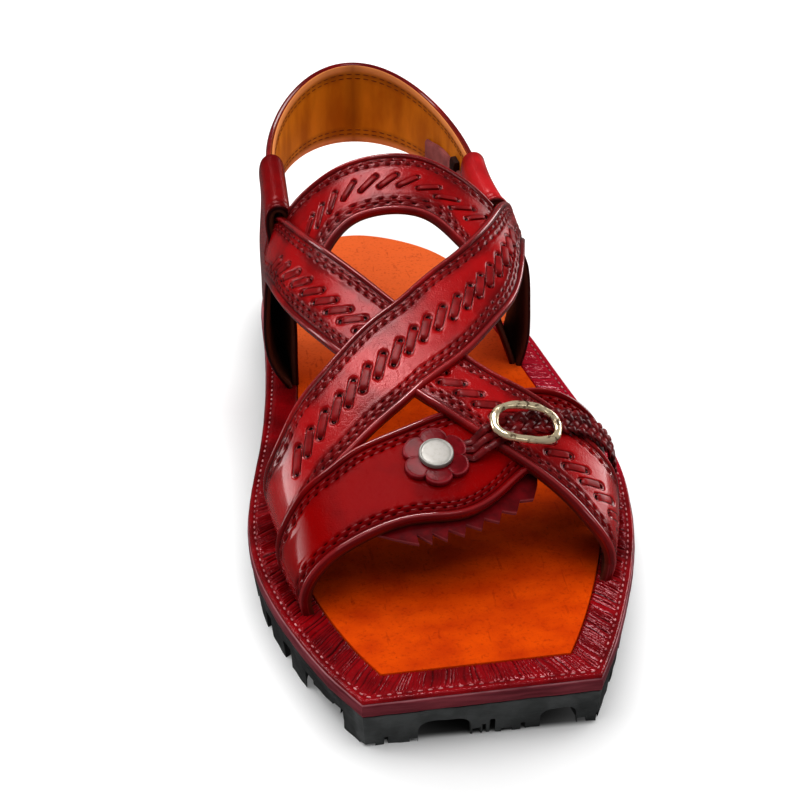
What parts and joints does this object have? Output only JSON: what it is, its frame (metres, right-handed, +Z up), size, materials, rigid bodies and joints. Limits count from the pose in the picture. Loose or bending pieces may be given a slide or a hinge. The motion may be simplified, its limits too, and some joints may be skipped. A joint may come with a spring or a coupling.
{
  "type": "leather sandal",
  "caption": "Left leather sandal with crossed laced straps, an arched instep strap, a heel strap, a small side buckle with a flower, and a flat sole cut from tyre rubber.",
  "frame": {"origin": "On the floor, under the middle of the sole's box.", "axes": "+Z up, toe towards -Y and heel towards +Y, the outer (lateral) side of the left foot towards +X."},
  "size_m": [0.121, 0.2796, 0.0983],
  "materials": {
    "tyre_rubber": "worn matt black tyre rubber",
    "midsole_leather": "cut leather edge, dyed maroon and waxed",
    "rand_leather": "pleated red leather, waxed, pale stitching",
    "insole_leather": "smooth orange tan leather with fine grain",
    "red_leather": "polished burgundy leather with laced and stitched edges",
    "heel_leather": "polished burgundy leather outside, tan lining inside",
    "trim_leather": "dark burgundy leather with a pinked edge",
    "braid_leather": "plaited burgundy leather",
    "flower_leather": "smooth burgundy leather, cut edge",
    "buckle_metal": "pale polished brass wire",
    "stud_metal": "domed silver metal, plain"
  },
  "bodies": {
    "root": {"outsole": "tyre_rubber", "midsole": "midsole_leather", "rand": "rand_leather", "insole": "insole_leather", "upper": "red_leather", "heel_strap": "heel_leather", "toe_trim": "trim_leather", "side_strap": "braid_leather", "buckle": "buckle_metal", "flower": "flower_leather", "stud": "stud_metal"}
  },
  "joints": []
}
